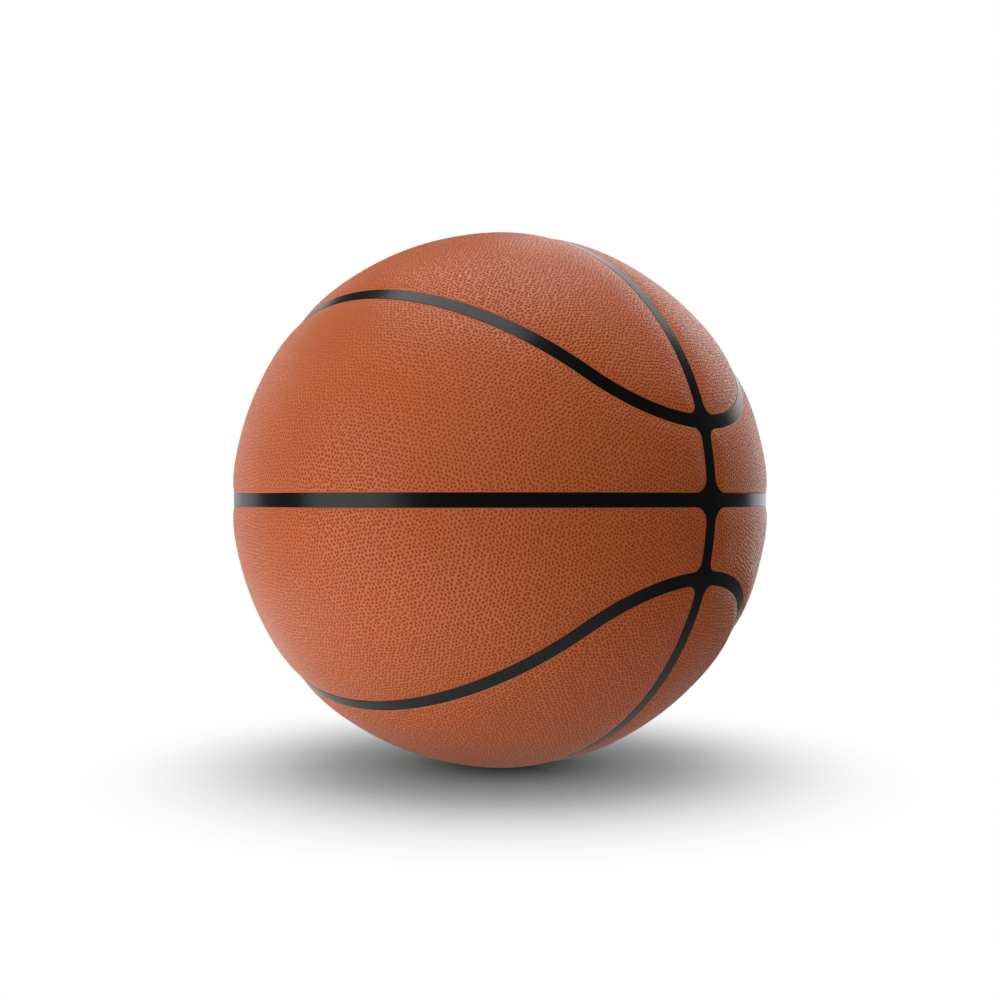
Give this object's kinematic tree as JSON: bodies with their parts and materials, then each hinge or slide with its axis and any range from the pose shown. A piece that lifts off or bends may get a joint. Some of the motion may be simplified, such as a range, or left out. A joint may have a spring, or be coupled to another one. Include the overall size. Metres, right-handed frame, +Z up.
{
  "type": "basketball",
  "caption": "Indoor basketball: pebbled leather panels on a wound rubber carcass with black channels, an air bladder and a needle valve.",
  "frame": {"origin": "centre of the ball", "axes": "+Z up, square to the equator seam; +X through the point where the equator seam crosses the upright seam; -Y through the middle of the ball's front, between the two front side panels"},
  "size_m": [0.238, 0.2382, 0.2384],
  "materials": {
    "panel_leather": "satin",
    "channel_rubber": "satin",
    "backing_cloth": "matte",
    "winding_thread": "satin",
    "bladder_rubber": "satin",
    "boot_rubber": "matte",
    "core_rubber": "satin"
  },
  "bodies": {
    "root": {"bladder": "bladder_rubber", "valve_boot": "boot_rubber", "valve_core": "core_rubber", "winding": "winding_thread", "carcass": "channel_rubber", "side_panel_front_upper": "panel_leather", "side_panel_front_lower": "panel_leather", "side_panel_back_upper": "panel_leather", "side_panel_back_lower": "panel_leather", "cap_panel_front_upper": "panel_leather", "cap_panel_front_lower": "panel_leather", "cap_panel_back_upper": "panel_leather", "cap_panel_back_lower": "panel_leather", "side_backing_front_upper": "backing_cloth", "side_backing_front_lower": "backing_cloth", "side_backing_back_upper": "backing_cloth", "side_backing_back_lower": "backing_cloth", "cap_backing_front_upper": "backing_cloth", "cap_backing_front_lower": "backing_cloth", "cap_backing_back_upper": "backing_cloth", "cap_backing_back_lower": "backing_cloth"}
  },
  "joints": []
}
